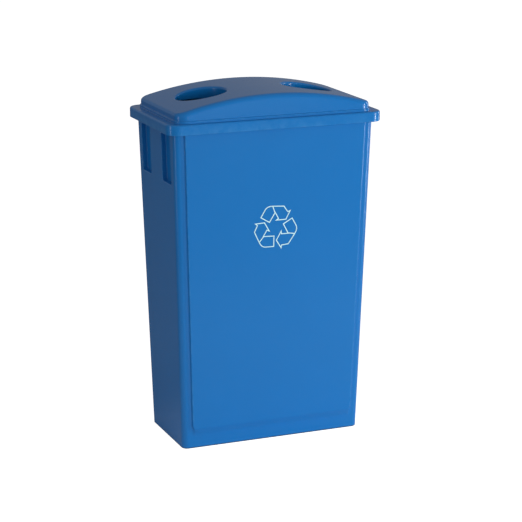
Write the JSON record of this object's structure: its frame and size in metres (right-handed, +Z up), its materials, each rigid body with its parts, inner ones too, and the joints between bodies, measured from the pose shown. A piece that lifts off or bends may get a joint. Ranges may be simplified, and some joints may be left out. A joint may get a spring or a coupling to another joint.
{
  "type": "recycling bin",
  "caption": "Slim rectangular recycling bin with a lift-off domed lid that has round holes for bottles and cans.",
  "frame": {"origin": "centre of the footprint, on the floor that the body stands on", "axes": "+X along the long side to the viewer's right, -Y is the front with the recycling mark, +Z up"},
  "size_m": [0.5184, 0.3, 0.819],
  "materials": {
    "blue_plastic": "semi-gloss injection moulded polyethylene, faintly textured",
    "white_print": "thin opaque white transfer print"
  },
  "bodies": {
    "bin": {"bin_body": "blue_plastic", "recycling_symbol": "white_print"},
    "lid": {"lid": "blue_plastic"}
  },
  "joints": [
    {"name": "lid_lift", "type": "slide", "parent": "bin", "child": "lid", "axis": [0, 0, 1], "range_m": [0, 0.2]}
  ]
}
